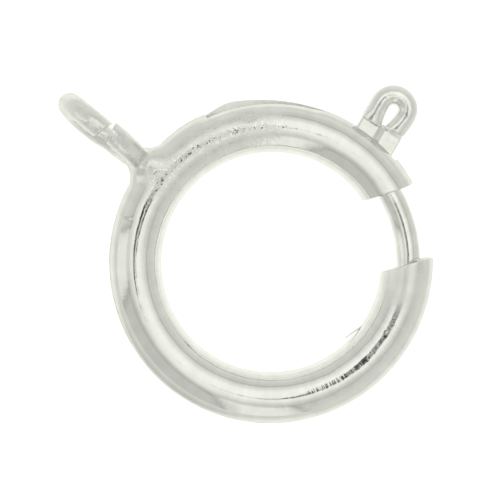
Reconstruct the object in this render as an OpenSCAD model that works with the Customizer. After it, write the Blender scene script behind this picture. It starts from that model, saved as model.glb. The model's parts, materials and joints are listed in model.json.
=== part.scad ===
// Spring ring clasp: a bent tube with a gap, closed by a sprung tongue that a
// small wire trigger pulls back, and an attaching ring soldered to the tube.
// Millimetres. The clasp lies on its side as it rests by itself, with its
// attaching ring on the surface, so the ring's axis leans a little from +Z.
// The origin is the centre of the main ring.

/* [Main ring] */
// Outer diameter of the main ring
ring_od = 16; // [13.5:0.1:18]
// Outer diameter of the tube it is bent from
tube_d = 2.54; // [2.3:0.02:2.8]
// Wall of the tube
wall = 0.28; // [0.2:0.01:0.34]

/* [Gap] */
// Width of the gap between the two mouths
gap_w = 3.68; // [3:0.02:4]
// Direction of the saw cut, seen from above
gap_a = 15; // [10:0.5:18]
// How far the upper mouth turns away from the saw cut
upper_slant = 4; // [0:0.5:6]

/* [Slot] */
// Width of the slot that the trigger slides in
slot_w = 0.86; // [0.8:0.01:0.95]
// Room left at each end of the trigger's travel
slot_slack = 0.25; // [0.1:0.05:0.4]
// Rise of the slot's raised lower lip above the tube
lip_rise = 0.2; // [0.1:0.01:0.25]
// Thickness of that lip's rounded edge
lip_t = 0.46; // [0.4:0.02:0.5]
// Bend radius of the lip along the slot
lip_bend = 4; // [3.5:0.1:4.5]
// Direction of the lip's highest point
lip_a = 101; // [95:1:105]

/* [Tongue] */
// Diameter of the tongue that closes the gap
tongue_d = 1.2; // [0.8:0.02:1.4]
// Length of tongue inside the lower mouth, up to its blunt tip
tip_in = 0.7; // [0.4:0.05:0.9]
// Length of that tip
tip_h = 0.4; // [0.2:0.05:0.5]
// Clearance between the tongue's guide head and the bore
head_clear = 0.06; // [0.03:0.01:0.1]
// Metal of the guide head beyond the trigger's pocket at each end
head_end = 0.3; // [0.2:0.05:0.5]
// Clearance round the trigger's tabs in their pocket
pocket_clear = 0.02; // [0.01:0.01:0.05]

/* [Trigger] */
// Diameter of the trigger's wire
wire_d = 0.94; // [0.84:0.02:0.98]
// Outer width of the trigger's loop
loop_w = 2.38; // [2.2:0.02:2.5]
// Height of the loop above the tube
loop_h = 2.88; // [2.4:0.02:3.2]
// Width of each flattened tab
tab_w = 1.08; // [0.96:0.02:1.1]
// Thickness of the tabs, where they pass the slot
tab_t = 0.66; // [0.5:0.02:0.7]
// Slit between the two tabs
tab_gap = 0.06; // [0.04:0.01:0.1]
// Height of the shoulders above the tube
shoulder_h = 0.57; // [0.4:0.01:0.7]
// Length of tab below the middle of the tube
tab_in = 0.35; // [0.2:0.05:0.5]
// Direction of the trigger on the ring, when the clasp is closed
trigger_a = 48.1; // [46:0.1:50]
// Lean of the trigger from the ring's radius
trigger_lean = 11.2; // [0:0.2:14]
// Turn of the trigger from closed to open
travel_a = 54; // [45:1:54]

/* [Spring] */
// Diameter of the spring's wire
spring_wire_d = 0.2; // [0.14:0.01:0.22]
// Clearance between the spring and the bore
spring_clear = 0.08; // [0.04:0.01:0.12]
// Number of turns
spring_turns = 36; // [24:1:38]
// Direction of the stop inside the tube that the spring pushes against
stop_a = 200; // [190:1:230]
// Thickness of that stop
stop_t = 0.4; // [0.3:0.05:0.6]
// Gap at each end of the spring
spring_gap = 0.05; // [0.03:0.01:0.1]

/* [Attaching ring] */
// Outer diameter of the attaching ring
eye_od = 5.34; // [4.6:0.02:5.8]
// Diameter of its wire
eye_wire_d = 1.08; // [0.96:0.02:1.2]
// Direction of the attaching ring on the main ring
eye_a = 142.3; // [138:0.1:148]
// Depth that its wire is seated into the tube's wall
eye_sink = 0.12; // [0.08:0.01:0.16]
// Turn of the attaching ring about the line to the main ring's centre
eye_twist = 5.2; // [0:0.2:8]
// Lean of the attaching ring from the main ring's radius
eye_lean = -2; // [-4:0.5:4]
// Width of the slit between its cut ends
slit_w = 0.36; // [0.1:0.02:0.5]
// Radius of the solder fillet at its foot
solder_r = 0.6; // [0.4:0.02:0.8]

/* [Hidden] */
silver_colour = [0.86, 0.87, 0.84];
spring_colour = [0.62, 0.63, 0.64];

// Smoothness of the large round shapes and of the wires
ring_fn = 120;
wire_fn = 48;

// Main ring: radius of the tube's middle line, and the bore
tube_r = tube_d / 2;
ring_r = ring_od / 2 - tube_r;
bore_r = tube_r - wall;

// Angle of an arc of the given length on the tube's middle line
function arc_angle(length) = length / ring_r * 180 / PI;

// Place of a point in the ring's plane, at a radius and an angle
function at_angle(radius, angle) = [radius * cos(angle), radius * sin(angle)];

// Gap: the mouths' middles on the tube's middle line
mouth_half_a = asin(gap_w / 2 / ring_r);
mouth_x = sqrt(ring_r * ring_r - gap_w * gap_w / 4);
gap_in_x = ring_r - tube_d;
gap_out_x = ring_od / 2 + tube_d;
lower_mouth_a = gap_a - mouth_half_a;
tip_a = lower_mouth_a - arc_angle(tip_in);

// Tongue's blunt tip: its root is a hair thinner than the rod it starts in
tip_root = tongue_d / 24;
tip_root_share = 0.97;
tip_end_share = 0.5;

// Trigger: its foot on the tube's middle line, its axis and its side direction
foot = at_angle(ring_r, trigger_a);
axis_a = trigger_a + trigger_lean;
axis_dir = at_angle(1, axis_a);
side_dir = at_angle(1, axis_a + 90);
tabs_half_w = tab_w + tab_gap / 2;

// Angle at which an edge of the tabs crosses a circle; side is 1 or -1
function edge_point(side) = foot + side * tabs_half_w * side_dir;
function edge_run(b, radius) = sqrt(pow(b * axis_dir, 2) - b * b + radius * radius) - b * axis_dir;
function point_angle(p) = atan2(p[1], p[0]);
function edge_angle(side, radius) =
    point_angle(edge_point(side) + edge_run(edge_point(side), radius) * axis_dir);

// Slot: from the closed trigger's edge to the open trigger's edge
slack_a = arc_angle(slot_slack);
slot_start_a = edge_angle(-1, ring_r + bore_r) - slack_a;
slot_end_a = edge_angle(1, ring_r + tube_r) + travel_a + slack_a;

// Raised lip: the middle of its edge, beside the slot
lip_z = -slot_w / 2 - lip_t / 4;
lip_base_r = ring_r + sqrt(tube_r * tube_r - lip_z * lip_z);
lip_centre_r = lip_base_r + lip_rise - lip_t / 2 - lip_bend;
lip_span_a = 60;

// Guide head of the tongue, long enough for the tabs' pocket
head_r = bore_r - head_clear;
head_start_a = edge_angle(-1, ring_r - tab_in) - arc_angle(head_end);
head_stop_a = edge_angle(1, ring_r + head_r) + arc_angle(head_end);

// Trigger: heights above its foot, and the loop's middle line
shoulder_y = tube_r + shoulder_h;
loop_r = (loop_w - wire_d) / 2;
loop_y = tube_r + loop_h - loop_w / 2;
shoulder_t = 0.88 * wire_d;
tab_x = (tab_w + tab_gap) / 2;
tab_root = tab_gap / 2;

// Spring: its arc between the guide head and the stop
coil_r = bore_r - spring_clear - spring_wire_d / 2;
spring_start_a = head_stop_a + arc_angle(spring_gap + spring_wire_d / 2);
spring_end_a = stop_a - arc_angle(stop_t / 2 + spring_gap + spring_wire_d / 2);
steps_a_turn = 9;
spring_sides = 5;

// Attaching ring: its middle line and its centre in the main ring's plane
eye_r = (eye_od - eye_wire_d) / 2;
eye_out = eye_od / 2 - eye_sink;
eye_centre = at_angle(ring_od / 2, eye_a) + at_angle(eye_out, eye_a + eye_lean);
solder_top = ring_od / 2 - eye_sink + eye_wire_d / 2;
solder_foot = ring_r + tube_r / 3;

// Lean of the whole clasp, with its tube and its attaching ring on the surface
rest_a = point_angle(eye_centre);
rest_lean = asin((eye_r * cos(eye_twist) + eye_wire_d / 2 - tube_r) / (ring_r + norm(eye_centre)));
rest_axis = [sin(rest_a), -cos(rest_a), 0];

// Lays a piece down from the ring's own plane to the way it rests
module laid() {
    rotate(a = rest_lean, v = rest_axis) children();
}

// Part of a ring of round section, from one angle to another
module round_arc(middle_r, section_r, from_a, to_a) {
    rotate([0, 0, from_a])
        rotate_extrude(angle = to_a - from_a, $fn = ring_fn)
            translate([middle_r, 0])
                circle(r = section_r, $fn = wire_fn);
}

// The tube's whole outer form, with no gap
module tube_outside() {
    rotate_extrude($fn = ring_fn)
        translate([ring_r, 0])
            circle(r = tube_r, $fn = wire_fn);
}

// Bore, on both sides of the spring's stop
module tube_bore() {
    half_stop_a = arc_angle(stop_t / 2);
    round_arc(ring_r, bore_r, gap_a, stop_a - half_stop_a);
    round_arc(ring_r, bore_r, stop_a + half_stop_a, gap_a + 360);
}

// Saw cut between the two mouths
module gap_cut() {
    half_w = gap_w / 2;
    slope = tan(upper_slant);
    rotate([0, 0, gap_a])
        translate([0, 0, -tube_d])
            linear_extrude(height = 2 * tube_d)
                polygon([
                    [gap_in_x, -half_w],
                    [gap_out_x, -half_w],
                    [gap_out_x, half_w + (gap_out_x - mouth_x) * slope],
                    [gap_in_x, half_w + (gap_in_x - mouth_x) * slope]
                ]);
}

// Slot through the outer wall, for the trigger's tabs
module slot_cut() {
    rotate([0, 0, slot_start_a])
        rotate_extrude(angle = slot_end_a - slot_start_a, $fn = ring_fn)
            translate([ring_r, -slot_w / 2])
                square([tube_d, slot_w]);
}

// Lip of the slot that was pushed outwards, highest at its middle
module slot_lip() {
    rotate([0, 0, lip_a])
        translate([lip_centre_r, 0, lip_z])
            round_arc(lip_bend, lip_t / 2, -lip_span_a / 2, lip_span_a / 2);
}

// Attaching ring, standing across the main ring's plane
module eye() {
    translate([eye_centre[0], eye_centre[1], 0])
        rotate([0, 0, eye_a + eye_lean])
            rotate([90 + eye_twist, 0, 0])
                difference() {
                    rotate_extrude($fn = ring_fn)
                        translate([eye_r, 0])
                            circle(r = eye_wire_d / 2, $fn = wire_fn);
                    translate([-slit_w / 2, eye_r - eye_wire_d, -eye_wire_d])
                        cube([slit_w, 2 * eye_wire_d, 2 * eye_wire_d]);
                }
}

// Solder at the foot of the attaching ring, with a hollow round fillet
module solder() {
    top_r = eye_wire_d / 2;
    foot_r = top_r + solder_r;
    rotate([0, 0, eye_a])
        rotate([0, 90, 0])
            rotate_extrude($fn = ring_fn)
                difference() {
                    translate([0, solder_foot])
                        square([foot_r, solder_top - solder_foot]);
                    translate([foot_r, solder_top])
                        circle(r = solder_r, $fn = wire_fn);
                }
}

module ring_body() {
    color(silver_colour)
        laid()
            difference() {
                union() {
                    tube_outside();
                    slot_lip();
                    eye();
                    solder();
                }
                tube_bore();
                gap_cut();
                slot_cut();
            }
}

// Pocket for both tabs, in the trigger's own frame
module tabs_pocket() {
    pocket_w = 2 * tabs_half_w + 2 * pocket_clear;
    pocket_t = tab_t + 2 * pocket_clear;
    translate([-pocket_w / 2, -tab_in - pocket_clear, -pocket_t / 2])
        cube([pocket_w, shoulder_y + tab_in, pocket_t]);
}

// One flattened tab, reaching a little into the leg above its shoulder
module tab() {
    translate([tab_gap / 2, -tab_in, -tab_t / 2])
        cube([tab_w, shoulder_y + tab_root + tab_in, tab_t]);
}

// Places a shape drawn along +Y on the trigger's axis
module on_trigger_axis() {
    translate([foot[0], foot[1], 0])
        rotate([0, 0, axis_a - 90])
            children();
}

// Blunt tip of the tongue, pointing into the lower mouth
module tongue_tip() {
    rotate([0, 0, tip_a])
        translate([ring_r, tip_root, 0])
            rotate([90, 0, 0])
                cylinder(
                    h = tip_root + tip_h,
                    d1 = tip_root_share * tongue_d,
                    d2 = tip_end_share * tongue_d,
                    $fn = wire_fn
                );
}

module tongue() {
    color(silver_colour)
        laid()
            difference() {
                union() {
                    round_arc(ring_r, tongue_d / 2, tip_a, trigger_a);
                    round_arc(ring_r, head_r, head_start_a, head_stop_a);
                    tongue_tip();
                }
                on_trigger_axis() tabs_pocket();
            }
}

// Eases from 0 to 1 with level ends
function ease(t) = t * t * (3 - 2 * t);

// A section of the trigger's wire: middle, direction of its width, half width
// and half thickness
function leg_section(t, direction_a) =
    let (s = ease(t))
    let (x = tab_x + (loop_r - tab_x) * s)
    [
        [x * cos(direction_a), shoulder_y + (loop_y - shoulder_y) * t],
        direction_a,
        (tab_w + (wire_d - tab_w) * s) / 2,
        (shoulder_t + (wire_d - shoulder_t) * s) / 2
    ];
function loop_section(angle) = [[0, loop_y] + at_angle(loop_r, angle), angle, wire_d / 2, wire_d / 2];

leg_steps = 8;
loop_steps = 20;
trigger_sides = 20;
trigger_sections = concat(
    [for (i = [0 : leg_steps - 1]) leg_section(i / leg_steps, 0)],
    [for (i = [0 : loop_steps]) loop_section(180 * i / loop_steps)],
    [for (i = [leg_steps - 1 : -1 : 0]) leg_section(i / leg_steps, 180)]
);

// Point of a section at a share of its rim
function section_point(s, rim_a) =
    let (across = s[2] * cos(rim_a))
    [s[0][0] + across * cos(s[1]), s[0][1] + across * sin(s[1]), -s[3] * sin(rim_a)];

// Faces of a closed tube of rings, each with the same number of points
function ring_faces(rings, sides) = [
    for (i = [0 : rings - 2], j = [0 : sides - 1])
        [i * sides + j, (i + 1) * sides + j, (i + 1) * sides + (j + 1) % sides, i * sides + (j + 1) % sides]
];
function end_faces(rings, sides) = [
    [for (j = [0 : sides - 1]) j],
    [for (j = [sides - 1 : -1 : 0]) (rings - 1) * sides + j]
];

module tube_of_rings(points, rings, sides) {
    faces = concat(ring_faces(rings, sides), end_faces(rings, sides));
    polyhedron(points = points, faces = faces, convexity = 8);
}

module trigger() {
    points = [
        for (s = trigger_sections, j = [0 : trigger_sides - 1])
            section_point(s, 360 * j / trigger_sides)
    ];
    color(silver_colour)
        laid()
            on_trigger_axis() {
                tube_of_rings(points, len(trigger_sections), trigger_sides);
                tab();
                mirror([1, 0, 0]) tab();
            }
}

// Point on the spring's wire: u is the turn count from its start, rim_a goes
// round the wire
function spring_point(u, rim_a) =
    let (arc_a = spring_start_a + (spring_end_a - spring_start_a) * u / spring_turns)
    let (phase = 360 * u)
    let (out = coil_r + spring_wire_d / 2 * cos(rim_a))
    let (along = spring_wire_d / 2 * sin(rim_a))
    let (radius = ring_r + out * cos(phase))
    [
        radius * cos(arc_a) - along * sin(arc_a),
        radius * sin(arc_a) + along * cos(arc_a),
        out * sin(phase)
    ];

module spring() {
    rings = spring_turns * steps_a_turn + 1;
    points = [
        for (i = [0 : rings - 1], j = [0 : spring_sides - 1])
            spring_point(i / steps_a_turn, 360 * j / spring_sides)
    ];
    color(spring_colour)
        laid()
            tube_of_rings(points, rings, spring_sides);
}

ring_body();
tongue();
trigger();
spring();
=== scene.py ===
import json
import math

import bpy
import numpy as np
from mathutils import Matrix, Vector


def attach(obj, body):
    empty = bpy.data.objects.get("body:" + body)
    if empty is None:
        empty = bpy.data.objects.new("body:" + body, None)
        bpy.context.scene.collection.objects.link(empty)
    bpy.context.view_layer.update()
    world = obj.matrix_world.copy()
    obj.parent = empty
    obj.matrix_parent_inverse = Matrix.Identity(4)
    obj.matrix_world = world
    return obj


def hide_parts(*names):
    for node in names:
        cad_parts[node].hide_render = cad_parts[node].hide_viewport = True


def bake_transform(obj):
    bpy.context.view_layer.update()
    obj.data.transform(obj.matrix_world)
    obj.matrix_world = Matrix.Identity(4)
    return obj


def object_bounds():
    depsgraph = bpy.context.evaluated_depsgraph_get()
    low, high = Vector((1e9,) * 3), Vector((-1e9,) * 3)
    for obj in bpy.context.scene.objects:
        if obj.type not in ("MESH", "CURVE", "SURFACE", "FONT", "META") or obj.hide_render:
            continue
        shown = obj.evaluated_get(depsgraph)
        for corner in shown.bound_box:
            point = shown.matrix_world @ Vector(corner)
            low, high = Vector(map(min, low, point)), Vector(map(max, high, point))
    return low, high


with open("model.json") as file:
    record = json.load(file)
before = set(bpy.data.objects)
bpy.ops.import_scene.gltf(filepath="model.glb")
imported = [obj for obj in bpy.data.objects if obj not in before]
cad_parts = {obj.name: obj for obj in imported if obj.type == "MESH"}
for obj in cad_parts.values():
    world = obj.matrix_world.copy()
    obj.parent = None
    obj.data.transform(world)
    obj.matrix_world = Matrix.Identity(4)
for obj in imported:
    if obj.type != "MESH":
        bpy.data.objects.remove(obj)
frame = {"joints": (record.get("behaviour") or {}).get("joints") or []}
cad_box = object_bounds()

# Shapes are drawn in the ring's own plane, in millimetres, and laid down by the
# lean of the joint's axis. Angles are in degrees, counterclockwise from +X.
MM = 0.001

# Photograph: its width in pixels, the size of a pixel and the ring's centre in it
PHOTO_WIDTH = 500
PIXEL = 0.04943
RING_AT = (271.9, 262.6)

# Main ring
RING_OD = 16.0
TUBE_D = 2.54
WALL = 0.28
RIM_ROUND = 0.05
STOP_A = 200.0
STOP_T = 0.4

# Gap
GAP_W = 3.71
GAP_A = 15.0
UPPER_SLANT = 4.0
UPPER_RAKE = 2.0
LOWER_RAKE = 6.2
LOWER_LOBE = 0.1

# Slot and its lips
SLOT_W = 0.86
SLOT_SLACK = 0.25
LOWER_LIP_RISE = 0.24
LOWER_LIP_EDGE = 0.05
UPPER_LIP_DROP = 0.06
LIP_REACH = 0.34
LIP_START_A = 74.0
LIP_TOP_A = 104.0
LIP_END_A = 116.0
PRESSED_START_A = 70.0
PRESSED_END_A = 120.0
PRESSED_EASE_A = 6.0

# Marks of bending on the tube; places are a ring angle and a section angle
DENT_DEPTH = 0.09
DENT_AT = (99.2, 60.0)
DENT_WIDTH = (2.4, 13.0)
SWELLING = 0.03
SWELLING_A = (113.0, 121.0, 126.0, 132.0)
MOUTH_FLARE = 0.045
MOUTH_FLARE_A = 12.0
OUTER_FLAT = 0.01

# Burr inside the ring: radius and angle of its start, and how far it runs
BURR_START = (5.25, 314.3)
BURR_RUN = (0.33, 12.7)
BURR_FACING_A = 320.0
BURR_HALF = 0.03
BURR_BOW = 0.05
BURR_RISE = 0.1

# Tongue
TONGUE_D = 1.17
TIP_IN = 0.7
TIP_H = 0.4
TONGUE_OUT = 0.045
TONGUE_BOW = 0.06
TONGUE_BOW_A = 19.0
HEAD_CLEAR = 0.06
HEAD_ROUND = 0.06
HEAD_END = 0.3

# Trigger
WIRE_D = 0.98
LOOP_W = 2.42
LOOP_H = 2.89
LOOP_SHIFT = 0.04
TAB_W = 1.11
TAB_T = 0.72
TAB_OVERLAP = 0.04
TAB_IN = 0.35
SHOULDER_H = 0.57
SHOULDER_T = 0.85
RIGHT_SHOULDER_RUN = 0.22
LEFT_SHOULDER_RUN = 0.05
TAB_ROUND = 0.03
TAB_TILT = 3.0
TRIGGER_A = 48.4
TRIGGER_LEAN = 11.2
TRAVEL_A = 54.0

# Spring
SPRING_WIRE_D = 0.2
SPRING_CLEAR = 0.08
SPRING_TURNS = 36
SPRING_GAP = 0.05

# Attaching ring
EYE_OD = 5.34
EYE_WIRE_D = 1.08
EYE_A = 142.3
EYE_SINK = 0.12
EYE_TWIST = 5.2
EYE_LEAN = -2.0
SLIT_W = 0.38
SLIT_OUT = -0.08
NEAR_END_SHIFT = 0.02
FAR_END_SHIFT = -0.13
NEAR_END_SLANT = 14.0
NEAR_END_RAKE = 10.0
FAR_END_SLANT = -17.0
END_BEND_L = 3.2
END_CUT_L = 0.7
EYE_FOOT_TURNS = (-225.0, -135.0)

# Bends of the attaching ring out of its plane: size, turn of the middle, width
EYE_BENDS = ((-0.12, -65.0, 45.0), (-0.05, 0.0, 50.0), (0.2, -135.0, 24.0))

# Solder
SOLDER_R = 1.15
SOLDER_RISE = 0.85
SOLDER_EDGE = 0.31
SOLDER_LAP = 0.02
SOLDER_REACH = 2.9
SOLDER_SINK = 0.25
SOLDER_FROM_A = 128.0
SOLDER_TO_A = 157.0

# Studio light, a little warm
LIGHT_COLOUR = (0.985, 1.0, 0.92, 1)

# Overhead box: direction of its middle, and angles from it where the walls take over
# and where the dark rim is
BOX_MIDDLE = (0.080, 0.090, 1)
BOX_EDGE = (43, 48)
BOX_RIM = (46.5, 51)

# Dimmer parts of the box: from and to azimuth, softness, then from and to angle from
# the middle and the level at each
BOX_DIM_PARTS = ((198, 268, 25, 24, 42, 0.85, 0.56), (275, 345, 15, 12, 42, 1.0, 0.64))

# Sectors of the light from the sides: from and to azimuth, softness and, where a sector
# has the same one everywhere, its level
PALE_SECTOR = (28, 112, 8)
SIDE_SECTORS = ((200, 257, 2, 0.60), (174, 197, 4, 0.9), (262, 282, 4, 0.93))
SECTOR_EDGES = (171, 201, 257, 286)
# The floor's sectors are painted into its glow near the ring: first a painted shade, then two painted
# pools of light
PAINTED_FLOOR_SECTORS = ((204, 253, 16, 0.64), (178, 193, 13, 0.82), (265, 279, 13, 0.84))

# Dark arms of the camera's rig: slope of the middle, direction, half length, half width
RIG_ARMS = (((-0.026, 0.047), 131.0, 0.19, 0.074), ((-0.168, -0.037), 126.0, 0.17, 0.043))

TUBE_R = TUBE_D / 2
RING_R = RING_OD / 2 - TUBE_R
BORE_R = TUBE_R - WALL
EYE_R = (EYE_OD - EYE_WIRE_D) / 2
HEAD_R = BORE_R - HEAD_CLEAR
LOOP_R = (LOOP_W - WIRE_D) / 2
SHOULDER_Y = TUBE_R + SHOULDER_H
LOOP_Y = TUBE_R + LOOP_H - LOOP_W / 2

UP = np.array([0.0, 0.0, 1.0])


def sin_d(angle):
    return np.sin(np.radians(angle))


def cos_d(angle):
    return np.cos(np.radians(angle))


def asin_d(value):
    return np.degrees(np.arcsin(value))


def at_angle(radius, angle):
    """Point in the ring's plane."""
    return radius * np.array([cos_d(angle), sin_d(angle), 0.0])


def arc_angle(length):
    """Angle of an arc of that length on the tube's middle line."""
    return math.degrees(length / RING_R)


def smooth(low, high, value):
    """Eases from 0 at low to 1 at high; low may be the larger."""
    t = np.clip((value - low) / (high - low), 0, 1)
    return t * t * (3 - 2 * t)


def hump(value, middle, width):
    """Bell of height 1 over the middle."""
    return np.exp(-(((value - middle) / width) ** 2))


def ladder(stops, steps):
    """Rising values through the stops, spaced no wider than each step."""
    values = [stops[0]]
    for low, high, step in zip(stops, stops[1:], steps):
        count = math.ceil((high - low) / step)
        values += [low + (high - low) * i / count for i in range(1, count + 1)]
    return np.array(values)


# The ring's plane in the frame, from the joint's axis
ring_axis = Vector(frame["joints"][0]["axis"]).normalized()
lay_down = Vector((0, 0, 1)).rotation_difference(ring_axis).to_matrix()
TO_FRAME = np.array(lay_down)


def in_frame(point):
    """Place of a point of the ring's plane, in metres in the frame."""
    return Vector(TO_FRAME @ np.asarray(point) * MM)


def make_piece(name, points, faces, finishes=None, sharp_angle=38.0):
    """A smooth-shaded mesh object, with its edges sharp above that angle."""
    mesh = bpy.data.meshes.new(name)
    mesh.from_pydata((points @ TO_FRAME.T * MM).tolist(), [], faces)
    if finishes is not None:
        mesh.polygons.foreach_set("material_index", finishes)
    mesh.shade_smooth()
    mesh.set_sharp_from_angle(angle=math.radians(sharp_angle))
    piece = bpy.data.objects.new(name, mesh)
    bpy.context.collection.objects.link(piece)
    return piece


def loft(rings):
    """Points and faces of a closed solid through rings with equal counts."""
    count, sides, _ = rings.shape
    faces = []
    for i in range(count - 1):
        for j in range(sides):
            k = (j + 1) % sides
            faces.append((i * sides + j, i * sides + k, (i + 1) * sides + k, (i + 1) * sides + j))
    faces.append(tuple(range(sides - 1, -1, -1)))
    faces.append(tuple(range((count - 1) * sides, count * sides)))
    return rings.reshape(-1, 3), faces


# Trigger's place on the ring
FOOT = at_angle(RING_R, TRIGGER_A)
AXIS_DIR = at_angle(1, TRIGGER_A + TRIGGER_LEAN)
SIDE_DIR = at_angle(1, TRIGGER_A + TRIGGER_LEAN + 90)


def edge_angle(side, radius):
    """Angle at which an edge of the trigger's tabs crosses a circle."""
    start = FOOT + side * TAB_W * SIDE_DIR
    along = start @ AXIS_DIR
    run = math.sqrt(along * along - start @ start + radius * radius) - along
    point = start + run * AXIS_DIR
    return math.degrees(math.atan2(point[1], point[0]))


SLOT_START_A = edge_angle(-1, RING_R + BORE_R) - arc_angle(SLOT_SLACK)
SLOT_END_A = edge_angle(1, RING_R + TUBE_R) + TRAVEL_A + arc_angle(SLOT_SLACK)
SLOT_B = float(asin_d(SLOT_W / 2 / TUBE_R))
BORE_SLOT_B = float(asin_d(SLOT_W / 2 / BORE_R))
HEAD_START_A = edge_angle(-1, RING_R - TAB_IN) - arc_angle(HEAD_END)
HEAD_STOP_A = edge_angle(1, RING_R + HEAD_R) + arc_angle(HEAD_END)

# Gap's two mouths: each cut is a plane across the tube
MOUTH_X = math.sqrt(RING_R**2 - GAP_W**2 / 4)
UPPER_OFFSET = (GAP_W / 2 - MOUTH_X * math.tan(math.radians(UPPER_SLANT))) * cos_d(UPPER_SLANT)


def upper_mouth(radius, z, inside):
    """Ring angle of the upper mouth's cut, at a height and a depth inside the metal."""
    offset = UPPER_OFFSET + math.tan(math.radians(UPPER_RAKE)) * z + inside
    return GAP_A + UPPER_SLANT + asin_d(offset / radius)


def lower_mouth(radius, z, inside):
    """The same at the lower mouth, whose cut bulges a little on its outer underside."""
    lobe = LOWER_LOBE * smooth(RING_R, RING_R + 0.8, radius) * smooth(0, -0.8, z)
    offset = GAP_W / 2 - math.tan(math.radians(LOWER_RAKE)) * z - lobe + inside
    return 360 + GAP_A - asin_d(offset / radius)


UPPER_MOUTH_A = float(upper_mouth(RING_R, 0, 0))
LOWER_MOUTH_A = float(lower_mouth(RING_R, 0, 0))
MOUTH_EASE_A = 6.5


def column_angle(nominal, beta, section_r):
    """Ring angle of a column of points, which follows the cuts near the mouths."""
    radius = RING_R + section_r * cos_d(beta)
    z = section_r * sin_d(beta)
    near_upper = 1 - smooth(UPPER_MOUTH_A, UPPER_MOUTH_A + MOUTH_EASE_A, nominal)
    near_lower = smooth(LOWER_MOUTH_A - MOUTH_EASE_A, LOWER_MOUTH_A, nominal)
    upper_shift = upper_mouth(radius, z, RIM_ROUND) - upper_mouth(RING_R, 0, RIM_ROUND)
    lower_shift = lower_mouth(radius, z, RIM_ROUND) - lower_mouth(RING_R, 0, RIM_ROUND)
    return nominal + near_upper * upper_shift + near_lower * lower_shift


def around(beta):
    """A section angle between -180 and 180, 0 on the ring's outer edge."""
    return (beta + 180) % 360 - 180


def slot_lips(phi, beta):
    """Lower lip bent out, highest at its left, and upper lip pressed in."""
    from_edge = (np.abs(around(beta)) - SLOT_B) * math.radians(TUBE_R)
    near_edge = hump(np.maximum(from_edge, 0), 0, LIP_REACH)
    along = np.clip((phi - LIP_START_A) / (LIP_TOP_A - LIP_START_A), 0, 1) ** 1.8
    along = along * smooth(LIP_END_A, LIP_TOP_A + 0.5, phi)
    pressed = smooth(PRESSED_START_A, PRESSED_START_A + PRESSED_EASE_A, phi)
    pressed = pressed * smooth(PRESSED_END_A, PRESSED_END_A - PRESSED_EASE_A, phi)
    lower = (LOWER_LIP_EDGE + LOWER_LIP_RISE * along) * (around(beta) < 0)
    upper = UPPER_LIP_DROP * pressed * (around(beta) > 0)
    return near_edge * (lower - upper)


def tube_dents(phi, beta):
    """Dent beside the slot, swelling before the solder, and what bending flattened."""
    dent = DENT_DEPTH * hump(phi, DENT_AT[0], DENT_WIDTH[0])
    dent = dent * hump(around(beta), DENT_AT[1], DENT_WIDTH[1])
    start, full, thinning, end = SWELLING_A
    swelling = SWELLING * smooth(start, full, phi) * smooth(end, thinning, phi)
    swelling = swelling * hump(around(beta), 0, 60)
    from_mouth = np.minimum(phi - UPPER_MOUTH_A, LOWER_MOUTH_A - phi)
    inner_side = np.abs(around(beta)) > 90
    flare = MOUTH_FLARE * smooth(MOUTH_FLARE_A, 0, from_mouth) * inner_side * -cos_d(beta)
    flat = OUTER_FLAT * smooth(78, 60, np.abs(around(beta)))
    return swelling + flare - dent - flat


def slot_edge_drop(phi, beta):
    """Rounding of the slot's outer edge."""
    across = (np.abs(around(beta)) - SLOT_B) * math.radians(TUBE_R)
    along = np.maximum(SLOT_START_A - phi, phi - SLOT_END_A) * math.radians(RING_R + TUBE_R)
    inside = np.clip(RIM_ROUND - np.maximum(across, along), 0, RIM_ROUND)
    return RIM_ROUND - np.sqrt(RIM_ROUND**2 - inside**2)


def outer_radius(phi, beta):
    """Radius of the tube's section there, with all its dents and lips."""
    return TUBE_R + slot_lips(phi, beta) + tube_dents(phi, beta) - slot_edge_drop(phi, beta)


def on_tube(phi, beta, section_r):
    """Point at a ring angle and a section angle, that far from the tube's middle line."""
    radius = RING_R + section_r * cos_d(beta)
    z = section_r * sin_d(beta)
    return np.stack([radius * cos_d(phi), radius * sin_d(phi), z], -1)


def tube_rows():
    """Section angles once round the tube, from the slot's upper edge, finest there."""
    first = SLOT_B
    last = 360 - SLOT_B
    stops = [first, first + 2.4, last - 2.4, last, 360 + first]
    return ladder(stops, [0.8, 4.9, 0.8, 5.0])[:-1]


def tube_columns():
    """Ring angles between the mouths, finer at the slot's ends and under the solder."""
    first = float(upper_mouth(RING_R, 0, RIM_ROUND))
    last = float(lower_mouth(RING_R, 0, RIM_ROUND))
    stops = [first, SLOT_START_A - 0.4, SLOT_START_A, SLOT_END_A, SLOT_END_A + 0.4]
    stops += [SOLDER_FROM_A, SOLDER_TO_A, last]
    return ladder(stops, [0.8, 0.14, 0.7, 0.14, 0.7, 0.42, 0.8])


def mouth_rim(mouth, beta_out, beta_in):
    """Rings of points round a mouth's rim, from its outer edge to its bore."""
    rings = []
    for turn in (60, 30, 0):
        section_r = TUBE_R - RIM_ROUND * (1 - sin_d(turn))
        inside = RIM_ROUND * (1 - cos_d(turn))
        phi = mouth(RING_R + section_r * cos_d(beta_out), section_r * sin_d(beta_out), inside)
        rings.append(on_tube(phi, beta_out, section_r))
    for turn in (0, 30, 60):
        section_r = BORE_R + RIM_ROUND * (1 - sin_d(turn))
        inside = RIM_ROUND * (1 - cos_d(turn))
        phi = mouth(RING_R + section_r * cos_d(beta_in), section_r * sin_d(beta_in), inside)
        rings.append(on_tube(phi, beta_in, section_r))
    return rings


def grid_faces(stations, rows, left_out):
    """Quads of a grid that closes both ways, but for the cells left out."""
    faces = []
    for i in range(stations):
        for j in range(rows):
            if left_out(i, j):
                continue
            k = (i + 1) % stations
            m = (j + 1) % rows
            faces.append((i * rows + j, k * rows + j, k * rows + m, i * rows + m))
    return faces


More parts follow.
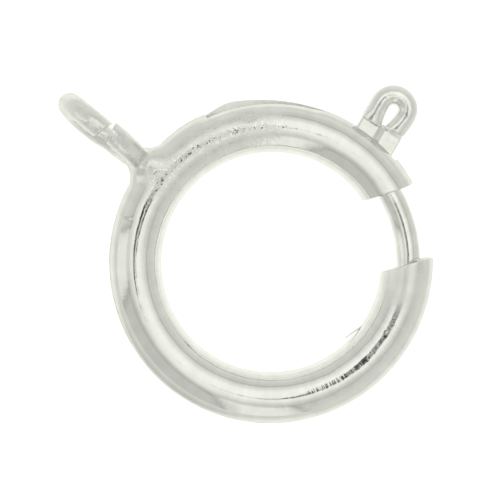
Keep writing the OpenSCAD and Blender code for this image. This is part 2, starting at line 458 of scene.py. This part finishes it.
def torus_gap(points, centre, axis, middle_r, section_r):
    """Distance of points from a torus, and its direction of increase."""
    out = points - centre
    height = out @ axis
    flat = out - height[:, None] * axis
    reach = np.linalg.norm(flat, axis=1)
    inward = reach - middle_r
    length = np.maximum(np.hypot(inward, height), 1e-9)
    direction = (inward / reach)[:, None] * flat + height[:, None] * axis
    return length - section_r, direction / length[:, None]


# Attaching ring's place: outward, upward and sideways directions
EYE_CENTRE = at_angle(RING_OD / 2, EYE_A) + at_angle(EYE_OD / 2 - EYE_SINK, EYE_A + EYE_LEAN)
EYE_OUT = at_angle(1, EYE_A + EYE_LEAN)
EYE_LEFT = at_angle(1, EYE_A + EYE_LEAN + 90)
EYE_UP = cos_d(EYE_TWIST) * UP - sin_d(EYE_TWIST) * EYE_LEFT
EYE_SIDE = np.cross(EYE_OUT, EYE_UP)


def solder_gap(points):
    """Distance from the tube and the attaching ring with a hollow fillet between."""
    tube, tube_dir = torus_gap(points, np.zeros(3), UP, RING_R, TUBE_R)
    eye, eye_dir = torus_gap(points, EYE_CENTRE, EYE_SIDE, EYE_R, EYE_WIRE_D / 2)
    steeper = SOLDER_R / SOLDER_RISE
    tube *= steeper
    in_tube = np.maximum(SOLDER_R - tube, 0)
    in_eye = np.maximum(SOLDER_R - eye, 0)
    length = np.hypot(in_tube, in_eye)
    gap = np.maximum(SOLDER_R, np.minimum(tube, eye)) - length
    mixed = steeper * in_tube[:, None] * tube_dir + in_eye[:, None] * eye_dir
    return gap, mixed / np.maximum(length, 1e-9)[:, None], tube, eye


def flow_solder(points, owner):
    """Moves points out onto the solder's fillet, and sinks those of the other owner."""
    moved = points.copy()
    near = np.linalg.norm(points - at_angle(RING_OD / 2, EYE_A), axis=1) < SOLDER_REACH
    flow = moved[near]
    for _ in range(24):
        gap, uphill = solder_gap(flow)[:2]
        steep = np.maximum(np.linalg.norm(uphill, axis=1), 0.3)
        step = np.clip(-gap / steep**2, 0, 0.08)
        flow += step[:, None] * uphill
    _, uphill, tube, eye = solder_gap(flow)
    uphill /= np.maximum(np.linalg.norm(uphill, axis=1), 1e-6)[:, None]
    past_edge = tube - eye - SOLDER_EDGE
    foreign = np.maximum((past_edge if owner == "tube" else -past_edge) - SOLDER_LAP, 0)
    flow -= np.minimum(0.5 * foreign, SOLDER_SINK)[:, None] * uphill
    moved[near] = flow
    return moved


def burr_mesh():
    """Hair-thin sliver of metal torn from the tube's inner edge."""
    sides = 8
    rim = np.arange(sides) * 360 / sides
    out = at_angle(1, BURR_FACING_A)
    section = cos_d(rim)[:, None] * out + sin_d(rim)[:, None] * UP
    rings = []
    for t in ladder([0, 1], [0.1]):
        radius = BURR_START[0] + BURR_RUN[0] * t - BURR_BOW * math.sin(math.pi * t)
        middle = at_angle(radius, BURR_START[1] + BURR_RUN[1] * t) + BURR_RISE * UP
        rings.append(middle + BURR_HALF * (1 + t) * section)
    return loft(np.array(rings))


# Numbers of the finishes of the ring body and of the trigger
POLISHED, CUT, SOLDERED = range(3)
WIRE, FLATTENED = range(2)


def tube_mesh():
    """The bent tube's outside, bore, mouths and slot, as one closed surface."""
    beta_out = tube_rows()
    beta_in = np.interp(
        beta_out,
        [SLOT_B, 360 - SLOT_B, 360 + SLOT_B],
        [BORE_SLOT_B, 360 - BORE_SLOT_B, 360 + BORE_SLOT_B],
    )
    columns = tube_columns()
    rows = len(beta_out)
    count = len(columns)

    outside = []
    bore = []
    for nominal in columns:
        phi = column_angle(nominal, beta_out, TUBE_R)
        outside.append(on_tube(phi, beta_out, outer_radius(phi, beta_out)))
        phi = column_angle(nominal, beta_in, BORE_R)
        bore.append(on_tube(phi, beta_in, BORE_R))
    lower_rim = mouth_rim(lower_mouth, beta_out, beta_in)
    upper_rim = mouth_rim(upper_mouth, beta_out, beta_in)
    rings = outside + lower_rim + bore[::-1] + upper_rim[::-1]
    stations = len(rings)

    # The slot is left out of the outside and of the bore
    slot_first = int(np.argmin(np.abs(columns - SLOT_START_A)))
    slot_last = int(np.argmin(np.abs(columns - SLOT_END_A)))
    low_row = int(np.argmin(np.abs(beta_out - (360 - SLOT_B))))
    bore_first = count + len(lower_rim)

    def in_slot(i, j):
        if j < low_row:
            return False
        if i < count:
            return slot_first <= i < slot_last
        back = count - 1 - (i - bore_first)
        return slot_first < back <= slot_last

    faces = grid_faces(stations, rows, in_slot)
    # Bands of the mouths that the saw left matt: one of the lower rim, one of the upper
    sawn_bands = (count + 1, stations - 4)
    finishes = []
    for face in faces:
        i, j = divmod(face[0], rows)
        on_mouth = i in sawn_bands
        on_lip = slot_first - 3 <= i < slot_last + 3 and not SLOT_B + 2 < beta_out[j] < 320 - SLOT_B
        finishes.append(CUT if on_mouth or on_lip else POLISHED)

    def outer_index(column, row):
        return column * rows + row % rows

    def bore_index(column, row):
        return (bore_first + count - 1 - column) * rows + row % rows

    for i in range(slot_first, slot_last):
        faces.append((outer_index(i, low_row), bore_index(i, low_row), bore_index(i + 1, low_row),
                      outer_index(i + 1, low_row)))
        faces.append((outer_index(i, 0), outer_index(i + 1, 0), bore_index(i + 1, 0), bore_index(i, 0)))
    for j in range(low_row, rows):
        faces.append((outer_index(slot_first, j), outer_index(slot_first, j + 1),
                      bore_index(slot_first, j + 1), bore_index(slot_first, j)))
        faces.append((outer_index(slot_last, j), bore_index(slot_last, j),
                      bore_index(slot_last, j + 1), outer_index(slot_last, j + 1)))

    finishes += [CUT] * (len(faces) - len(finishes))

    points = np.concatenate(rings)
    outside_count = count * rows
    points[:outside_count] = flow_solder(points[:outside_count], "tube")
    return points, faces, finishes


def eye_mesh():
    """The attaching ring: round wire bent round, with its cut ends sprung apart."""
    slit_a = 90 - math.degrees(SLIT_OUT / EYE_R)
    half_slit = math.degrees(SLIT_W / 2 / EYE_R)
    far_a = slit_a - half_slit
    near_a = slit_a + half_slit - 360
    stops = [near_a, near_a + 2, *EYE_FOOT_TURNS, far_a - 2, far_a]
    turns = ladder(stops, [0.7, 2.5, 1.5, 2.5, 0.7])
    sides = 48
    rim = np.arange(sides) * 360 / sides
    rings = []
    for turn in turns:
        from_far = (far_a - turn) * math.radians(EYE_R)
        from_near = (turn - near_a) * math.radians(EYE_R)
        shift = sum(size * hump(turn, middle, width) for size, middle, width in EYE_BENDS)
        shift += FAR_END_SHIFT * smooth(END_BEND_L, 0, from_far)
        shift += NEAR_END_SHIFT * smooth(END_BEND_L, 0, from_near)
        near_end = smooth(END_CUT_L, 0, min(from_far, from_near))
        half = EYE_WIRE_D / 2 * (1 - 0.07 * smooth(0.07, 0, min(from_far, from_near)))
        sideways = -sin_d(rim) * half
        outward = cos_d(rim) * half
        slant, rake = (FAR_END_SLANT, 0) if from_far < from_near else (NEAR_END_SLANT, NEAR_END_RAKE)
        sheared = sideways * math.tan(math.radians(slant)) + outward * math.tan(math.radians(rake))
        turned = turn - near_end * np.degrees(sheared / EYE_R)
        out = cos_d(turned)[:, None] * EYE_OUT + sin_d(turned)[:, None] * EYE_UP
        reach = EYE_R + outward
        rings.append(EYE_CENTRE + reach[:, None] * out + (sideways + shift)[:, None] * EYE_SIDE)
    points, faces = loft(np.array(rings))
    return flow_solder(points, "eye"), faces


def ring_body_piece():
    """Tube, attaching ring with its solder, and burr, as one piece."""
    points, faces, finishes = tube_mesh()
    for (more_points, more_faces), finish in ((eye_mesh(), SOLDERED), (burr_mesh(), CUT)):
        shift = len(points)
        points = np.concatenate([points, more_points])
        faces += [tuple(i + shift for i in face) for face in more_faces]
        finishes += [finish] * len(more_faces)
    return make_piece("ring_body_silver", points, faces, finishes)


def tongue_piece():
    """Round rod with a blunt tip and its guide head, bent round the ring."""
    tip_a = LOWER_MOUTH_A - 360 - arc_angle(TIP_IN)
    tip_end_a = tip_a - arc_angle(TIP_H)
    rod_r = TONGUE_D / 2
    round_a = arc_angle(HEAD_ROUND)
    blunt_tip = [(tip_end_a, 0.30), (tip_end_a + 0.1 * round_a, 0.40), (tip_end_a + round_a, 0.56)]
    blunt_tip += [(tip_a - round_a, 0.93), (tip_a, 0.98), (tip_a + 2 * round_a, 1.0)]
    profile = [(angle, share * rod_r) for angle, share in blunt_tip]
    profile += [(a, rod_r) for a in ladder([tip_a + 4 * round_a, HEAD_START_A], [0.8])]
    profile += [(HEAD_START_A + 0.01, HEAD_R - HEAD_ROUND), (HEAD_START_A + round_a, HEAD_R)]
    profile += [(a, HEAD_R) for a in ladder([HEAD_START_A + 2 * round_a, HEAD_STOP_A - round_a], [1.5])]
    profile += [(HEAD_STOP_A, HEAD_R - HEAD_ROUND)]
    sides = 48
    rim = np.arange(sides) * 360 / sides
    rings = []
    for angle, section_r in profile:
        free = angle < HEAD_START_A
        bow = TONGUE_BOW * (1 - 2 * smooth(GAP_A - TONGUE_BOW_A, GAP_A + TONGUE_BOW_A, angle))
        moved = at_angle(TONGUE_OUT, angle) + bow * UP
        rings.append(on_tube(angle, rim, section_r) + free * moved)
    return make_piece("tongue_rod", *loft(np.array(rings)))


def leg_section(rim, flatness):
    """Unit section: round wire, or hammered flat with a wide bevel on its inner side."""
    turn = np.minimum(rim, 360 - rim)
    corners = [0, 27, 36, 135, 171, 180]
    flat_across = np.interp(turn, corners, [1, 1, 0.85, -0.6, -1, -1])
    flat_up = np.interp(turn, corners, [0, 0.7, 1, 1, 0.55, 0]) * np.where(rim > 180, -1, 1)
    across = flatness * flat_across + (1 - flatness) * cos_d(rim)
    up = flatness * flat_up + (1 - flatness) * sin_d(rim)
    return across, up


def trigger_leg(shoulder_run):
    """Sections of one leg, upwards: height, middle, half sizes and flatness."""
    tab_x = (TAB_W - TAB_OVERLAP) / 2
    half_w = (TAB_W + TAB_OVERLAP) / 2
    leg = [(-TAB_IN, tab_x, half_w - TAB_ROUND, TAB_T / 2 - TAB_ROUND, 1)]
    for y in (-TAB_IN + TAB_ROUND, 0.7, SHOULDER_Y - 0.25, SHOULDER_Y - 0.06):
        leg.append((y, tab_x, half_w, TAB_T / 2, 1))
    for step in (0.0, 0.35, 0.7, 1.0):
        half_t = TAB_T / 2 + (SHOULDER_T - TAB_T) / 2 * step
        leg.append((SHOULDER_Y - 0.03 + shoulder_run * step, tab_x, half_w, half_t, 1 - 0.5 * step))
    for t in ladder([(shoulder_run + 0.02) / (LOOP_Y - SHOULDER_Y), 1], [0.08]):
        s = smooth(-0.6, 1.0, t)
        middle = tab_x + (LOOP_R - tab_x) * s
        leg_w = half_w + (WIRE_D / 2 - half_w) * s
        leg_t = (SHOULDER_T + (WIRE_D - SHOULDER_T) * s) / 2
        flatness = 0.5 * smooth(0.6, 0, t)
        leg.append((SHOULDER_Y + (LOOP_Y - SHOULDER_Y) * t, middle, leg_w, leg_t, flatness))
    return leg[:-1]


def trigger_sections():
    """Sections from the right tab round the loop: place, direction, half sizes, flatness."""
    right = [((x, y), 0, *rest) for y, x, *rest in trigger_leg(RIGHT_SHOULDER_RUN)]
    left = [((-x, y), 180, *rest) for y, x, *rest in trigger_leg(LEFT_SHOULDER_RUN)]
    loop = []
    for angle in ladder([0, 180], [6]):
        place = (LOOP_R * cos_d(angle), LOOP_Y + LOOP_R * sin_d(angle))
        loop.append((place, angle, WIRE_D / 2, WIRE_D / 2, 0))
    return right + loop + left[::-1]


def trigger_piece():
    """Hairpin of round wire with flattened tabs, in its own upright frame first."""
    sides = 40
    rim = np.arange(sides) * 360 / sides
    rings = []
    for place, direction, half_w, half_t, flatness in trigger_sections():
        across, up = leg_section(rim, flatness)
        x = place[0] + half_w * across * cos_d(direction)
        y = place[1] + half_w * across * sin_d(direction)
        tilt = math.tan(math.radians(TAB_TILT)) * smooth(SHOULDER_Y + 0.05, SHOULDER_Y - 0.05, y)
        z = -half_t * up - tilt * (x - place[0])
        x = x + LOOP_SHIFT * smooth(SHOULDER_Y, LOOP_Y, y)
        rings.append(FOOT + x[:, None] * -SIDE_DIR + y[:, None] * AXIS_DIR + z[:, None] * UP)
    points, faces = loft(np.array(rings))
    heights = (points - FOOT) @ AXIS_DIR
    finishes = [WIRE if heights[list(face)].max() > SHOULDER_Y + 0.01 else FLATTENED for face in faces]
    return make_piece("trigger_loop", points, faces, finishes, sharp_angle=24.0)


def spring_piece():
    """Coil spring bent round the ring, between the tongue's head and its stop."""
    coil_r = BORE_R - SPRING_CLEAR - SPRING_WIRE_D / 2
    room = arc_angle(SPRING_GAP + SPRING_WIRE_D / 2)
    start_a = HEAD_STOP_A + room
    end_a = STOP_A - arc_angle(STOP_T / 2) - room
    steps = 20 * SPRING_TURNS
    rim = np.arange(8) * 45.0
    rings = []
    for i in range(steps + 1):
        arc = start_a + (end_a - start_a) * i / steps
        out = coil_r + SPRING_WIRE_D / 2 * cos_d(rim)
        along = SPRING_WIRE_D / 2 * sin_d(rim)
        phase = 360 * SPRING_TURNS * i / steps
        radius = RING_R + out * cos_d(phase)
        x = radius * cos_d(arc) - along * sin_d(arc)
        y = radius * sin_d(arc) + along * cos_d(arc)
        rings.append(np.stack([x, y, out * sin_d(phase)], -1))
    return make_piece("coil_spring", *loft(np.array(rings)))


class Nodes:
    """Short calls for a material's or a world's node tree."""

    def __init__(self, tree):
        self.tree = tree

    def add(self, kind, **inputs):
        """A new node with its inputs fed; _ stands for the spaces in their names."""
        node = self.tree.nodes.new(kind)
        for name, value in inputs.items():
            self.feed(node.inputs[name.replace("_", " ")], value)
        return node

    def feed(self, socket, value):
        """Links the input to another node's output, or sets its value."""
        if isinstance(value, bpy.types.NodeSocket):
            self.tree.links.new(value, socket)
        else:
            socket.default_value = value

    def maths(self, operation, first, second=0.0, third=0.0):
        """Result of an operation on outputs or numbers."""
        node = self.tree.nodes.new("ShaderNodeMath")
        node.operation = operation
        for socket, value in zip(node.inputs, (first, second, third)):
            self.feed(socket, value)
        return node.outputs[0]

    def span(self, value, low, high, to_low=0.0, to_high=1.0):
        """Eases from to_low to to_high as the value goes from low to high."""
        node = self.tree.nodes.new("ShaderNodeMapRange")
        node.interpolation_type = "SMOOTHSTEP"
        for socket, number in zip(node.inputs, (value, low, high, to_low, to_high)):
            self.feed(socket, number)
        return node.outputs[0]

    def blend(self, factor, first, second):
        """A number between two, by a factor from 0 to 1."""
        change = self.maths("MULTIPLY", factor, self.maths("SUBTRACT", second, first))
        return self.maths("ADD", first, change)

    def noise(self, vector, scale, detail=2.0, roughness=0.5):
        values = {"Vector": vector, "Scale": scale, "Detail": detail, "Roughness": roughness}
        return self.add("ShaderNodeTexNoise", **values).outputs["Fac"]


def new_material(name):
    """A node material, short calls for its nodes, and its shader."""
    material = bpy.data.materials.new(name)
    material.use_nodes = True
    return material, Nodes(material.node_tree), material.node_tree.nodes["Principled BSDF"]


def object_place(nodes):
    """Place on the piece, in metres in the frame."""
    return nodes.tree.nodes.new("ShaderNodeTexCoord").outputs["Object"]


def silver_shader(shader, nodes, stain, tone=0.865):
    """Silver's colour, paler or duller with a stain from 0 to 1, with a dimmer edge."""
    shader.inputs["Metallic"].default_value = 1.0
    shader.inputs["Specular Tint"].default_value = (0.76, 0.76, 0.75, 1)
    mix = nodes.tree.nodes.new("ShaderNodeMix")
    mix.data_type = "RGBA"
    nodes.feed(mix.inputs["Factor"], stain)
    mix.inputs["A"].default_value = (tone - 0.045, tone - 0.045, tone - 0.06, 1)
    mix.inputs["B"].default_value = (tone + 0.04, tone + 0.04, tone + 0.035, 1)
    nodes.feed(shader.inputs["Base Color"], mix.outputs["Result"])


def azimuth_of(nodes, x, y):
    """Degrees round from +X, from 0 to 360."""
    degrees = nodes.maths("MULTIPLY", nodes.maths("ARCTAN2", y, x), 180 / math.pi)
    return nodes.maths("FLOORED_MODULO", degrees, 360.0)


def near_spot(nodes, place, spot, reach):
    """1 close to a place on the ring, fading to 0 at that reach."""
    away = nodes.add("ShaderNodeVectorMath", Vector=place)
    away.operation = "DISTANCE"
    away.inputs[1].default_value = in_frame(spot)
    return nodes.span(away.outputs["Value"], 0.35 * reach * MM, reach * MM, 1.0, 0.0)


def bump(nodes, *heights):
    """Surface bumped by heights in metres."""
    total = heights[0]
    for height in heights[1:]:
        total = nodes.maths("ADD", total, height)
    return nodes.add("ShaderNodeBump", Height=total, Strength=1.0, Distance=1.0).outputs["Normal"]


def striations(nodes, x, y, z, radius, scale):
    """Noise that runs across the tube: quick along the ring, slow round the section."""
    along_x = nodes.maths("MULTIPLY", nodes.maths("DIVIDE", x, radius), RING_R * MM)
    along_y = nodes.maths("MULTIPLY", nodes.maths("DIVIDE", y, radius), RING_R * MM)
    across = nodes.maths("MULTIPLY", radius, 0.22)
    noise = nodes.add("ShaderNodeTexNoise", Scale=scale, Detail=2.5, Roughness=0.55)
    noise.noise_dimensions = "4D"
    vector = nodes.add("ShaderNodeCombineXYZ", X=along_x, Y=along_y, Z=across).outputs[0]
    nodes.feed(noise.inputs["Vector"], vector)
    nodes.feed(noise.inputs["W"], nodes.maths("MULTIPLY", z, 0.22))
    return noise.outputs["Fac"]


def off_seam(nodes, x, y, z, radius):
    """Degrees of section angle past the tube's thin drawn seam, low on its inner side."""
    ring_a = azimuth_of(nodes, x, y)
    outward = nodes.maths("SUBTRACT", radius, RING_R * MM)
    section_a = nodes.maths("MULTIPLY", nodes.maths("ARCTAN2", z, outward), 180 / math.pi)
    return nodes.maths("SUBTRACT", section_a, nodes.span(ring_a, 180, 230, 139.5, 148.0))


def tube_silver():
    """Polished tube with a seam and fine striations, rougher where it is worn.

    Lines are coarser on the crown at the lower right, the upper left is sanded,
    and the tube is dulled by handling beside the gap. Heights are in metres.
    """
    material, nodes, shader = new_material("tube_silver")
    place = object_place(nodes)
    flat = nodes.add("ShaderNodeMapping", Vector=place, Rotation=lay_down.transposed().to_euler())
    x, y, z = nodes.add("ShaderNodeSeparateXYZ", Vector=flat.outputs[0]).outputs
    square = nodes.maths("ADD", nodes.maths("MULTIPLY", x, x), nodes.maths("MULTIPLY", y, y))
    radius = nodes.maths("SQRT", square)
    past_seam = off_seam(nodes, x, y, z, radius)

    streaks = nodes.span(striations(nodes, x, y, z, radius, 1800.0), 0.3, 0.7)
    patches = nodes.span(nodes.noise(place, 1300.0, 3.0), 0.3, 0.7)
    stain = nodes.maths("MULTIPLY", nodes.maths("ADD", streaks, patches), 0.5)
    silver_shader(shader, nodes, stain)

    crown = near_spot(nodes, place, on_tube(312, 90, TUBE_R), 4.0)
    shoulder = near_spot(nodes, place, on_tube(97, 78, TUBE_R), 2.0)
    for spot_a in (118, 139):
        spot = near_spot(nodes, place, on_tube(spot_a, 80, TUBE_R), 2.2)
        shoulder = nodes.maths("MAXIMUM", shoulder, spot)
    handled = near_spot(nodes, place, on_tube(351, 98, TUBE_R), 2.0)

    patchy = nodes.span(nodes.noise(place, 900.0), 0.4, 0.6, 0.5, 1.5)
    ripple = nodes.maths("MULTIPLY", nodes.blend(crown, 1.8e-6, 12.0e-6), patchy)
    lines = nodes.maths("MULTIPLY", striations(nodes, x, y, z, radius, 8500.0), ripple)
    sand = nodes.maths("MULTIPLY", nodes.noise(place, 8000.0, 1.5), nodes.blend(shoulder, 0.5e-6, 14.0e-6))
    waves = nodes.maths("MULTIPLY", nodes.noise(place, 1100.0, 1.0), 10.0e-6)
    step = nodes.span(past_seam, -1.0, 1.0, 9.0e-6, 0.0)
    nodes.feed(shader.inputs["Normal"], bump(nodes, lines, sand, waves, step))

    polish = nodes.span(nodes.noise(place, 1800.0, 3.0), 0.3, 0.7, 0.05, 0.12)
    specks = nodes.span(nodes.noise(place, 5500.0, 1.5), 0.56, 0.62)
    sanded = nodes.maths("MULTIPLY", shoulder, nodes.maths("SUBTRACT", 1.0, specks))
    wear = nodes.maths("MULTIPLY", nodes.maths("ADD", sanded, handled), 0.25)
    nodes.feed(shader.inputs["Roughness"], nodes.maths("ADD", polish, wear))
    return material


def bumped_silver(name, tone, waves, grain, roughness):
    """Silver with two sizes of dents, each a scale and a height, and a span of roughness."""
    material, nodes, shader = new_material(name)
    place = object_place(nodes)
    silver_shader(shader, nodes, nodes.span(nodes.noise(place, 1600.0, 3.0), 0.3, 0.7), tone)
    heights = []
    for scale, height in (waves, grain):
        heights.append(nodes.maths("MULTIPLY", nodes.noise(place, scale), height))
    nodes.feed(shader.inputs["Normal"], bump(nodes, *heights))
    patches = nodes.noise(place, 2000.0)
    nodes.feed(shader.inputs["Roughness"], nodes.span(patches, 0.35, 0.65, *roughness))
    return material


def cut_silver():
    """Sawn and sheared edges: matt, with the marks of the cut."""
    return bumped_silver("cut_silver", 0.94, (4000.0, 4.0e-6), (9000.0, 4.0e-6), (0.36, 0.46))


def soldered_silver():
    """Attaching ring and solder: heated and mottled."""
    return bumped_silver("soldered_silver", 0.875, (2600.0, 4.2e-5), (9500.0, 3.5e-6), (0.2, 0.34))


def trigger_silver():
    """Bent wire with small dents, which break up what it mirrors."""
    return bumped_silver("trigger_silver", 0.89, (4200.0, 1.3e-5), (9000.0, 4.5e-6), (0.14, 0.24))


def flattened_silver():
    """Tabs hammered flat."""
    return bumped_silver("flattened_silver", 0.9, (4000.0, 4.0e-6), (9000.0, 2.0e-6), (0.16, 0.22))


def tongue_silver():
    """The tongue is rubbed bright by sliding."""
    return bumped_silver("tongue_silver", 0.865, (1500.0, 7.0e-6), (9000.0, 1.6e-6), (0.06, 0.12))


def spring_material():
    """Bright drawn steel wire."""
    material, nodes, shader = new_material("spring_wire")
    drawn = nodes.noise(object_place(nodes), 9000.0, 2.0)
    shader.inputs["Metallic"].default_value = 1.0
    shader.inputs["Base Color"].default_value = (0.55, 0.56, 0.57, 1)
    nodes.feed(shader.inputs["Roughness"], nodes.span(drawn, 0.3, 0.7, 0.25, 0.4))
    return material


def between(nodes, value, low, high, soft):
    """1 while the value is between two bounds, with soft edges."""
    rise = nodes.span(value, low - soft, low + soft)
    fall = nodes.span(value, high + soft, high - soft)
    return nodes.maths("MULTIPLY", rise, fall)


def in_sectors(nodes, azimuth, light, sectors):
    """Light that takes on each sector's level between its two azimuths."""
    for low, high, soft, level in sectors:
        light = nodes.blend(between(nodes, azimuth, low, high, soft), light, level)
    return light


def side_light(nodes, azimuth, plain):
    """Light from the sides: plain, but for a dark sector between two bright strips."""
    light = in_sectors(nodes, azimuth, plain, SIDE_SECTORS)
    for edge_a in SECTOR_EDGES:
        edge = between(nodes, azimuth, edge_a - 1.5, edge_a + 1.5, 1.0)
        light = nodes.blend(edge, light, nodes.maths("MULTIPLY", light, 0.76))
    return light


def ceiling_light(nodes, direction, azimuth):
    """Bright soft box overhead with a dark rim, above paler and darker walls."""
    dot = nodes.add("ShaderNodeVectorMath", Vector=direction)
    dot.operation = "DOT_PRODUCT"
    dot.inputs[1].default_value = Vector(BOX_MIDDLE).normalized()
    from_middle = nodes.maths("MULTIPLY", nodes.maths("ARCCOSINE", dot.outputs["Value"]), 180 / math.pi)

    near_horizon = nodes.blend(between(nodes, azimuth, *PALE_SECTOR), 0.74, 0.83)
    walls = side_light(nodes, azimuth, nodes.span(from_middle, 50, 95, 0.64, near_horizon))
    box = nodes.span(from_middle, 18, 46, 1.03, 0.74)
    for low, high, soft, *fall in BOX_DIM_PARTS:
        dim = nodes.span(from_middle, *fall)
        box = nodes.blend(between(nodes, azimuth, low, high, soft), box, dim)
    light = nodes.blend(nodes.span(from_middle, *BOX_EDGE), box, walls)
    rim = between(nodes, from_middle, *BOX_RIM, 1.5)
    return nodes.blend(rim, light, nodes.maths("MULTIPLY", light, 0.8))


def dark_bar(nodes, slope_x, slope_y, middle, direction, half_length, half_width):
    """1 inside a bar drawn on the slopes of the directions, with soft edges."""
    off_x = nodes.maths("SUBTRACT", slope_x, middle[0])
    off_y = nodes.maths("SUBTRACT", slope_y, middle[1])
    along_x = nodes.maths("MULTIPLY", off_x, cos_d(direction))
    along_y = nodes.maths("MULTIPLY", off_y, sin_d(direction))
    across_x = nodes.maths("MULTIPLY", off_x, sin_d(direction))
    across_y = nodes.maths("MULTIPLY", off_y, cos_d(direction))
    along = nodes.maths("ABSOLUTE", nodes.maths("ADD", along_x, along_y))
    across = nodes.maths("ABSOLUTE", nodes.maths("SUBTRACT", across_y, across_x))
    in_length = nodes.span(along, 1.12 * half_length, 0.9 * half_length)
    return nodes.maths("MULTIPLY", in_length, nodes.span(across, 1.2 * half_width, 0.85 * half_width))


def rig_shadow(nodes, x, y, z):
    """1 inside the dark arms of the camera's rig, close to straight up."""
    slope_x = nodes.maths("DIVIDE", x, nodes.maths("MAXIMUM", z, 0.05))
    slope_y = nodes.maths("DIVIDE", y, nodes.maths("MAXIMUM", z, 0.05))
    arm, strap = (dark_bar(nodes, slope_x, slope_y, *bar) for bar in RIG_ARMS)
    return nodes.maths("MULTIPLY", nodes.maths("MAXIMUM", arm, strap), nodes.span(z, 0, 0.1))


def studio_light():
    """Soft light from all sides, with what a polished ring mirrors."""
    world = bpy.data.worlds.new("studio")
    bpy.context.scene.world = world
    world.use_nodes = True
    nodes = Nodes(world.node_tree)
    direction = nodes.tree.nodes.new("ShaderNodeTexCoord").outputs["Generated"]
    x, y, z = nodes.add("ShaderNodeSeparateXYZ", Vector=direction).outputs
    light = ceiling_light(nodes, direction, azimuth_of(nodes, x, y))
    light = nodes.blend(rig_shadow(nodes, x, y, z), light, 0.06)
    background = world.node_tree.nodes["Background"]
    background.inputs["Color"].default_value = LIGHT_COLOUR
    nodes.feed(background.inputs["Strength"], light)


def floor_material():
    """Pale light table, brightest straight up, so shadows stay faint.

    Near the ring its glow has the side light's sectors painted in, much softer: a
    painted shade on the dark sector and painted pools of light on the pale ones. Inside
    the ring a painted pool of light makes it brighter than outside.
    """
    material, nodes, shader = new_material("pale_table")
    place = object_place(nodes)
    x, y, _ = nodes.add("ShaderNodeSeparateXYZ", Vector=place).outputs
    azimuth = azimuth_of(nodes, x, y)
    length = nodes.add("ShaderNodeVectorMath", Vector=place)
    length.operation = "LENGTH"
    from_ring = length.outputs["Value"]
    near = nodes.span(from_ring, 22 * MM, 10 * MM)
    # Painted shade: a darker sector of the floor's glow near the ring, fading out by 22 mm
    painted_shade_side = nodes.maths("MULTIPLY", near, between(nodes, azimuth, *PAINTED_FLOOR_SECTORS[0][:3]))
    facing = nodes.add("ShaderNodeLayerWeight", Blend=0.5).outputs["Facing"]
    upward = nodes.span(facing, 0.8, 0.0)
    upward_outside = nodes.span(facing, nodes.blend(painted_shade_side, 0.8, 0.3), 0.0)
    # Painted pools of light and painted shade: near the ring the floor's glow takes the sectors' levels
    plain = nodes.blend(between(nodes, azimuth, *PALE_SECTOR), 0.72, 0.8)
    sideways = nodes.blend(near, 0.72, in_sectors(nodes, azimuth, plain, PAINTED_FLOOR_SECTORS))
    sideways = nodes.maths("SUBTRACT", sideways, 0.33)
    outside = nodes.blend(upward_outside, sideways, 0.87)
    # Painted pool of light: inside the ring the floor glows brighter than outside
    inside = nodes.blend(upward, 0.52, 0.95)
    glow = nodes.blend(nodes.span(from_ring, 5.2 * MM, 7.2 * MM), inside, outside)
    shader.inputs["Base Color"].default_value = (0.45, 0.45, 0.45, 1)
    shader.inputs["Roughness"].default_value = 0.9
    shader.inputs["Specular IOR Level"].default_value = 0.1
    shader.inputs["Emission Color"].default_value = LIGHT_COLOUR
    nodes.feed(shader.inputs["Emission Strength"], glow)
    return material


def floor():
    """The light table, level with the clasp's lowest point."""
    bpy.ops.mesh.primitive_plane_add(size=1.2, location=(0, 0, cad_box[0][2]))
    table = bpy.context.object
    table.name = "table"
    table.data.materials.append(floor_material())


def camera():
    """Long lens above the clasp, tipped a little, framed like the photograph."""
    middle_px = PHOTO_WIDTH / 2
    target = in_frame(((middle_px - RING_AT[0]) * PIXEL, (RING_AT[1] - middle_px) * PIXEL, 0))
    lens = 200.0
    sensor = 36.0
    tilt = 1.7
    distance = PHOTO_WIDTH * PIXEL * MM * lens / sensor
    data = bpy.data.cameras.new("photo_camera")
    data.lens = lens
    data.sensor_width = sensor
    data.clip_start = 0.002
    data.clip_end = 10
    viewer = bpy.data.objects.new("photo_camera", data)
    viewer.location = target + distance * Vector((0, sin_d(tilt), cos_d(tilt)))
    viewer.rotation_euler = (math.radians(-tilt), 0, 0)
    bpy.context.collection.objects.link(viewer)
    bpy.context.scene.camera = viewer


camera()
studio_light()
floor()
bpy.context.scene.view_settings.view_transform = "Standard"

ring_body = ring_body_piece()
tongue = tongue_piece()
trigger = trigger_piece()
for piece, body, node, finishes in (
    (ring_body, "case", "ring_body", (tube_silver(), cut_silver(), soldered_silver())),
    (tongue, "slider", "tongue", (tongue_silver(),)),
    (trigger, "slider", "trigger", (trigger_silver(), flattened_silver())),
):
    for finish in finishes:
        piece.data.materials.append(finish)
    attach(piece, body)
    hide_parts(node)

spring = spring_piece()
spring.data.materials.append(spring_material())
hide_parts("spring")
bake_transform(spring)
